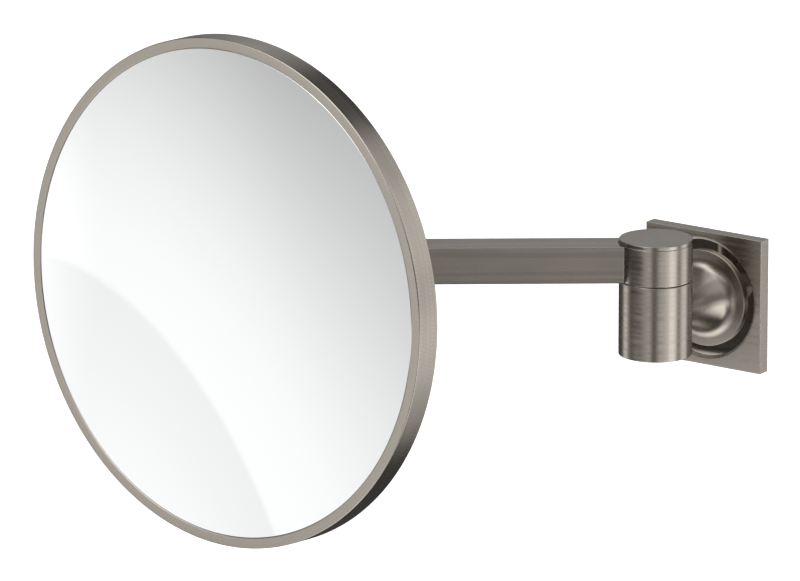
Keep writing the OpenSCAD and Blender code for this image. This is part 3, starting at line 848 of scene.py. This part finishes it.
@dataclass
class FlaredPost:
    """The turned post: a disc in the plate's recess, a flare and a neck."""

    palette: Palette
    place: Matrix
    disc_r: float = 19.8 * MM
    flare_r: float = 16.6 * MM
    bend_r: float = 5.5 * MM
    neck_r: float = 7.5 * MM
    slope: float = 60
    boss_r: float = 7.9 * MM
    boss_z: float = 3 * MM
    disc_z: float = 4.2 * MM
    disc_t: float = 1.5 * MM
    edge: float = 0.25 * MM
    count: int = 192

    def profile(self, top: float) -> list[Point]:
        """The post's outline.

        Args:
            top: Height of the neck's end above the wall.

        Returns:
            Radius and height of each corner, from the axis to the axis.
        """
        lean = math.radians(self.slope)
        face = self.disc_z + self.disc_t
        mid_r = self.flare_r - self.bend_r * math.sin(lean)
        mid_z = self.bend_r * (1 - math.cos(lean))
        sweep_r = (mid_r - self.neck_r) / (1 - math.sin(lean))
        sweep_z = mid_z + sweep_r * math.cos(lean)
        bend = arc((self.flare_r, face + self.bend_r), self.bend_r, 270, 270 - self.slope, 20)
        sweep = arc((self.neck_r + sweep_r, face + sweep_z), sweep_r, 270 - self.slope, 180, 20)
        return [(0, self.boss_z), (self.boss_r, self.boss_z), (self.boss_r, self.disc_z),
                (self.disc_r, self.disc_z), (self.disc_r, face), *bend, *sweep[1:],
                (self.neck_r, top), (0, top)]

    def build(self) -> None:
        """Builds the post."""
        bm = lathe(self.profile(-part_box("post")[0].y), self.count)
        break_edges(bm, self.edge)
        post = add_piece("flared_post", bm, self.place, self.palette.get(GRAPHITE, Lay.AROUND))
        stand_in(post, Body.WALL, Slot.TURNED, "post")


@dataclass
class HingeHousings:
    """The two stacked round housings of the wall hinge and their caps."""

    palette: Palette
    fixed: Matrix
    turning: Matrix
    bore_r: float = 5 * MM
    cavity_r: float = 11 * MM
    cavity_h: float = 10 * MM
    washer_r: float = 10.2 * MM
    washer_in: float = 1 * MM
    head_r: float = 7.2 * MM
    head_in: float = 7 * MM
    boss_r: float = 12 * MM
    boss_h: float = 1.4 * MM
    gap: float = 0.02 * MM
    edge: float = 0.25 * MM
    count: int = 192

    def build(self) -> None:
        """Builds both housings, the upper cap and the cap of the spring cavity."""
        low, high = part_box("lower_housing")
        radius, foot, head = (high.x - low.x) / 2, low.z, high.z
        lower = [(self.cavity_r, foot), (radius, foot), (radius, head), (self.washer_r, head),
                 (self.washer_r, head - self.washer_in), (self.bore_r, head - self.washer_in),
                 (self.bore_r, foot + self.cavity_h), (self.cavity_r, foot + self.cavity_h)]
        self._turn("fixed_housing", lower, self.fixed, Body.WALL, "lower_housing")
        foot, head = (corner.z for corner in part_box("upper_housing"))
        upper = [(self.bore_r, foot), (radius, foot), (radius, head), (self.boss_r, head),
                 (self.boss_r, head - self.boss_h), (self.head_r, head - self.boss_h),
                 (self.head_r, head - self.head_in), (self.bore_r, head - self.head_in)]
        self._turn("turning_housing", upper, self.turning, Body.ARM, "upper_housing")
        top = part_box("top_cap")[1].z
        cap = [(0, head - self.boss_h), (self.boss_r - self.gap, head - self.boss_h),
               (self.boss_r - self.gap, head), (radius, head), (radius, top), (0, top)]
        self._turn("hinge_cap", cap, self.turning, Body.ARM, "top_cap")
        foot, head = (corner.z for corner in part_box("bottom_cap"))
        radius = self.cavity_r - self.gap
        plug = [(0, foot), (radius, foot), (radius, head), (0, head)]
        self._turn("cavity_cap", plug, self.fixed, Body.WALL, "bottom_cap")

    def _turn(self, name: str, profile: list[Point], place: Matrix, body: Body, node: str) -> None:
        """Builds one turned piece.

        Args:
            name: Its name.
            profile: Its outline.
            place: The place of its axis.
            body: The body that it rides on.
            node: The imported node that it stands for.
        """
        bm = lathe(profile, self.count)
        break_edges(bm, self.edge)
        piece = add_piece(name, bm, place, self.palette.get(GRAPHITE, Lay.AROUND))
        stand_in(piece, body, Slot.TURNED, node)


@dataclass
class SwingArm:
    """The square bar between the wall hinge and the mirror's swivel, and the eye at its end."""

    palette: Palette
    places: Places
    width: float = 15 * MM
    cope_gap: float = 0.1 * MM
    housing_r: float = 14.7 * MM
    eye_r: float = 11 * MM
    eye_bore_r: float = 4 * MM
    edge: float = 0.3 * MM
    steps: int = 24
    eye_count: int = 128

    def build(self) -> None:
        """Builds the bar, hollowed to the round pieces at both ends, and the eye."""
        half = self.width / 2
        foot, head = (corner.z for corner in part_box("arm_bar"))
        near, far = self.housing_r + self.cope_gap, self.eye_r + self.cope_gap
        lean = [math.degrees(math.asin(half / r)) for r in (near, far)]
        start = arc((0, 0), near, lean[0], -lean[0], self.steps)
        finish = arc((self.places.reach, 0), far, 180 + lean[1], 180 - lean[1], self.steps)
        bm = prism(start + finish, foot, head)
        break_edges(bm, self.edge)
        bar = add_piece("square_arm", bm, self.places.arm, self.palette.get(GRAPHITE, Lay.STRAIGHT))
        stand_in(bar, Body.ARM, Slot.SATIN, "arm_bar")
        low, high = -half, half
        ring = [(self.eye_bore_r, low), (self.eye_r, low), (self.eye_r, high), (self.eye_bore_r, high)]
        bm = lathe(ring, self.eye_count)
        break_edges(bm, self.edge)
        eye = add_piece("arm_eye", bm, self.places.end, self.palette.get(GRAPHITE, Lay.AROUND))
        stand_in(eye, Body.ARM, Slot.TURNED, "end_eye")


@dataclass
class MirrorHead:
    """The dished glass in its turned rim."""

    palette: Palette
    place: Matrix
    rim_r: float = 101.5 * MM
    rim_depth: float = 10.8 * MM
    rim_face: float = 4.3 * MM
    rim_wall: float = 2.5 * MM
    shelf_w: float = 5 * MM
    carrier_d: float = 6.7 * MM
    glass_gap: float = 0.06 * MM
    glass_set: float = 0.2 * MM
    glass_t: float = 3 * MM
    dish: float = 3 * MM
    ground: float = 0.12 * MM
    edge: float = 0.4 * MM
    count: int = 384
    glass_steps: int = 48

    def sag(self, radius: float) -> float:
        """Depth of the glass's front at a distance from its centre."""
        full = self.rim_r - self.rim_face - self.glass_gap
        ball = (full * full + self.dish * self.dish) / (2 * self.dish)
        return self.glass_set + self.dish - ball + math.sqrt(ball * ball - radius * radius)

    def build(self) -> None:
        """Builds the rim and the glass."""
        pocket = self.rim_r - self.rim_face
        shelf = pocket - self.shelf_w
        inner = self.rim_r - self.rim_wall
        rim = [(pocket, 0), (self.rim_r, 0), (self.rim_r, self.rim_depth), (inner, self.rim_depth),
               (inner, self.carrier_d), (shelf, self.carrier_d), (shelf, self.sag(shelf) + self.glass_t),
               (pocket, self.sag(pocket - self.glass_gap) + self.glass_t)]
        bm = lathe(rim, self.count)
        break_edges(bm, self.edge)
        piece = add_piece("mirror_rim", bm, self.place, self.palette.get(RIM, Lay.AROUND))
        stand_in(piece, Body.HEAD, Slot.TURNED, "mirror_frame")

        full = pocket - self.glass_gap
        flat = full - self.ground
        front = [(flat * i / self.glass_steps, self.sag(flat * i / self.glass_steps))
                 for i in range(self.glass_steps + 1)]
        back = [(full * i / self.glass_steps, self.sag(full * i / self.glass_steps) + self.glass_t)
                for i in range(self.glass_steps, -1, -1)]
        bm = lathe([*front, (full, self.sag(full) + self.ground), *back], self.count)
        bmesh.ops.recalc_face_normals(bm, faces=bm.faces)
        glass = add_piece("dished_glass", bm, self.place, self.palette.get(SILVER))
        stand_in(glass, Body.HEAD, Slot.GLASS, "mirror_glass")


@dataclass
class PackedPieces:
    """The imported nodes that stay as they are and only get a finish."""

    palette: Palette
    places: Places
    nodes: dict[str, bpy.types.Object]

    def dress(self, names: Sequence[str], finish: Finish, lay: Lay = Lay.AROUND,
              place: Matrix | None = None) -> None:
        """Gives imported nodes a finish.

        Args:
            names: The nodes.
            finish: Their finish.
            lay: Which way its lines run.
            place: The axes that the lines follow.
        """
        for name in names:
            slots = self.nodes[name].data.materials
            slots.clear()
            slots.append(self.palette.get(finish, lay, place))
            LOG.info("node %s: %s", name, finish.name)

    def build(self) -> None:
        """Dresses every node that keeps its solid."""
        p = self.places
        self.dress(("wall_bracket",), ZINC, Lay.STRAIGHT, p.wall)
        self.dress(("clamp_screw", "tie_bolt"), BLACK)
        self.dress(("dowel_pins",), ZINC, Lay.AROUND, p.wall)
        self.dress(("lower_bush",), BRONZE, Lay.AROUND, p.hinge)
        self.dress(("upper_bush", "thrust_washer"), BRONZE, Lay.AROUND, p.hinge)
        self.dress(("friction_washer",), POLYMER)
        self.dress(("pivot_bolt", "flat_washer", "spring_washers", "lock_nut"), ZINC, Lay.AROUND, p.hinge)
        self.dress(("arm_grub_screws", "bracket_screws"), BLACK)
        self.dress(("swivel_bush",), BRONZE, Lay.AROUND, p.end)
        self.dress(("swivel_yoke",), GRAPHITE, Lay.STRAIGHT, p.tilt)
        self.dress(("swivel_washers", "tilt_washers"), POLYMER)
        self.dress(("swivel_bolt", "swivel_spring_washer", "swivel_cap_nut"), ZINC, Lay.AROUND, p.end)
        self.dress(("tilt_bush",), BRONZE)
        self.dress(("mirror_bracket",), GRAPHITE, Lay.STRAIGHT, p.tilt)
        self.dress(("tilt_bolt", "tilt_spring_washer", "tilt_nut", "carrier_plate", "carrier_screws",
                    "cover_screws"), ZINC, Lay.AROUND, p.tilt)
        self.dress(("backing_pad",), FOAM)
        self.dress(("back_cover",), COVER)


# ---- Studio ------------------------------------------------------------------------------


def toward(azimuth: float, elevation: float) -> Vector:
    """A direction from the object into the room.

    Args:
        azimuth: Degrees from straight out of the wall, toward +X.
        elevation: Degrees above the horizon.

    Returns:
        The direction, of length 1.
    """
    a, e = math.radians(azimuth), math.radians(elevation)
    return Vector((math.sin(a) * math.cos(e), -math.cos(a) * math.cos(e), math.sin(e)))


@dataclass(frozen=True)
class Glow:
    """A soft bright or dark patch of the room around the object."""

    azimuth: float
    elevation: float
    inner: float
    outer: float
    strength: float


@dataclass(frozen=True)
class SoftBox:
    """A large area lamp that looks at the object."""

    name: str
    azimuth: float
    elevation: float
    distance: float
    width: float
    height: float
    power: float


@dataclass(frozen=True)
class Viewpoint:
    """Where the camera stands and what its lens takes in."""

    azimuth: float = 35.215
    elevation: float = 15.133
    distance: float = 3612.6 * MM
    right: float = 124.677 * MM
    rise: float = -1.702 * MM
    lens: float = 405.0
    sensor: float = 36.0


@dataclass
class Studio:
    """Pale floor, soft light and camera."""

    view: Viewpoint = Viewpoint()
    floor_spot: tuple[float, float, float] = (-1.5, 4.0, -0.9)
    floor_half: float = 5.0
    floor_tone: float = 0.9
    floor_glow: float = 0.8
    least_light: float = 0.02
    room: float = 0.07
    # Most of these strengths were first worked out by a scratch least-squares program, from brightness
    # samples of the reference picture, and some were changed by hand since. They aren't a hand-made design
    # and should be redone as one. The directions and widths were picked one by one.
    glows: tuple[Glow, ...] = (
        Glow(-42, -2, 9, 17.5, 0.65),
        Glow(-60, -14, 14, 34, 0.34),
        Glow(108, 8, 36, 70, 0.25),
        Glow(-75, -15, 1, 14, 1.0),
        Glow(-62, -15, 1, 13, 0.24),
        Glow(-30, -15, 1, 13, 0.88),
        Glow(-6, -15, 1, 12, 0.33),
        Glow(6, -15, 1, 12, 0.6),
        Glow(16, -15, 1, 11, 0.86),
        Glow(32, -15, 1, 13, 0.17),
        Glow(46, -15, 1, 12, 0.9),
        Glow(58, -15, 1, 14, 0.76),
        Glow(72, -15, 1, 16, 0.59),
        Glow(90, -15, 1, 18, 1.15),
        Glow(134, -15, 1, 20, 1.05),
        Glow(-30, -42, 4, 24, 1.96),
        Glow(0, -45, 4, 24, 0.67),
        Glow(90, -40, 4, 28, 2.2),
        Glow(138, -38, 4, 17, 0.6),
        Glow(-137, 15, 4, 22, 0.25),
        Glow(-149, 29, 4, 17, 0.41),
        Glow(150, 33, 4, 17, 0.62),
        Glow(133, 14, 4, 22, 0.92),
        Glow(-100, 12, 6, 34, 0.12),
        Glow(60, 45, 8, 45, 0.4),
        Glow(-20, 35, 8, 40, 2.6),
        Glow(100, 52, 8, 38, 0.2),
        Glow(-41, -3.3, 8.4, 8.6, -0.12),
        Glow(-41, -3.3, 4.5, 8.5, 0.12),
    )
    boxes: tuple[SoftBox, ...] = (
        SoftBox("top_softbox", 20, 78, 2.4, 1.8, 1.8, 8),
    )

    def build(self) -> None:
        """Builds the room, the floor, the lamps and the camera."""
        self._room()
        self._floor()
        for box in self.boxes:
            self._lamp(box)
        self._camera()
        bpy.context.scene.view_settings.view_transform = "Standard"

    def _room(self) -> None:
        """A pale room whose soft panels show only in reflections."""
        world = bpy.data.worlds.new("room")
        bpy.context.scene.world = world
        world.use_nodes = True
        sheet = NodeSheet(world.node_tree)
        sheet.tree.nodes.clear()
        direction = sheet.add("ShaderNodeTexCoord").outputs["Generated"]
        total: object = self.room
        for glow in self.glows:
            facing = sheet.add("ShaderNodeVectorMath", operation="DOT_PRODUCT")
            sheet.join(direction, facing.inputs[0])
            facing.inputs[1].default_value = toward(glow.azimuth, glow.elevation)
            near, far = (math.cos(math.radians(a)) for a in (glow.inner, glow.outer))
            patch = sheet.span(facing.outputs["Value"], far, near, 0.0, glow.strength)
            total = sheet.math("ADD", patch, total)
        seen = sheet.math("MAXIMUM", total, self.least_light)
        panels = sheet.add("ShaderNodeBackground")
        sheet.join(seen, panels.inputs["Strength"])
        panels.inputs["Color"].default_value = (1, 1, 1, 1)
        plain = sheet.add("ShaderNodeBackground", inputs={"Color": (1, 1, 1, 1), "Strength": 1.0})
        mixed = sheet.add("ShaderNodeMixShader")
        sheet.join(sheet.add("ShaderNodeLightPath").outputs["Is Camera Ray"], mixed.inputs[0])
        sheet.join(panels.outputs[0], mixed.inputs[1])
        sheet.join(plain.outputs[0], mixed.inputs[2])
        sheet.join(mixed.outputs[0], sheet.add("ShaderNodeOutputWorld").inputs["Surface"])

    def _floor(self) -> None:
        """A pale floor under and behind the object."""
        bm = bmesh.new()
        bmesh.ops.create_grid(bm, x_segments=1, y_segments=1, size=self.floor_half)
        mesh = bpy.data.meshes.new("floor")
        bm.to_mesh(mesh)
        bm.free()
        floor = bpy.data.objects.new("floor", mesh)
        bpy.context.scene.collection.objects.link(floor)
        floor.location = self.floor_spot
        material = bpy.data.materials.new("pale_floor")
        material.use_nodes = True
        shader = material.node_tree.nodes["Principled BSDF"]
        shader.inputs["Base Color"].default_value = (*(self.floor_tone for _ in range(3)), 1)
        shader.inputs["Roughness"].default_value = 0.9
        shader.inputs["Emission Color"].default_value = (1, 1, 1, 1)
        shader.inputs["Emission Strength"].default_value = self.floor_glow
        mesh.materials.append(material)
        floor.visible_glossy = False

    @staticmethod
    def _lamp(box: SoftBox) -> None:
        """Hangs one softbox.

        Args:
            box: The softbox.
        """
        data = bpy.data.lights.new(box.name, "AREA")
        data.shape = "RECTANGLE"
        data.size, data.size_y, data.energy = box.width, box.height, box.power
        lamp = bpy.data.objects.new(box.name, data)
        bpy.context.scene.collection.objects.link(lamp)
        aim = toward(box.azimuth, box.elevation)
        lamp.location = aim * box.distance
        lamp.rotation_euler = aim.to_track_quat("Z", "Y").to_euler()
        lamp.visible_camera = False

    def _camera(self) -> None:
        """Stands the camera where the object is seen from."""
        view = self.view
        forward = -toward(view.azimuth, view.elevation)
        across = Vector((math.cos(math.radians(view.azimuth)), math.sin(math.radians(view.azimuth)), 0))
        above = across.cross(forward)
        data = bpy.data.cameras.new("camera")
        data.lens, data.sensor_width = view.lens, view.sensor
        data.clip_end = 100
        camera = bpy.data.objects.new("camera", data)
        bpy.context.scene.collection.objects.link(camera)
        spot = -forward * view.distance - across * view.right - above * view.rise
        camera.matrix_world = axes(across, -forward, spot)
        bpy.context.scene.camera = camera


def head_place(places: Places, lean: float, drop: float, ahead: float) -> Matrix:
    """The centre of the rim's front face, with local Z pointing into the mirror.

    Args:
        places: The joints' places.
        lean: How far the head is tipped up at rest, in degrees.
        drop: How far its centre lies below the tilt axis.
        ahead: How far its front lies from the tilt axis.

    Returns:
        The place.
    """
    tipped = places.tilt @ Matrix.Rotation(math.radians(-lean), 4, "X")
    return tipped @ Matrix.Translation((0, -ahead, -drop)) @ Matrix.Rotation(math.radians(-90), 4, "X")


def main() -> None:
    """Builds the studio and every sub-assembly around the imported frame."""
    logging.basicConfig(level=logging.INFO, format="%(name)s %(message)s")
    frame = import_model()
    places = Places.from_joints(frame["joints"])
    palette = Palette(EffectLibrary())
    Studio().build()
    WallPlate(palette, places.wall).build()
    FlaredPost(palette, places.wall).build()
    HingeHousings(palette, places.hinge, places.arm).build()
    SwingArm(palette, places).build()
    MirrorHead(palette, head_place(places, HEAD_LEAN, HEAD_DROP, HEAD_AHEAD)).build()
    PackedPieces(palette, places, frame["nodes"]).build()


if __name__ == "__main__":
    main()
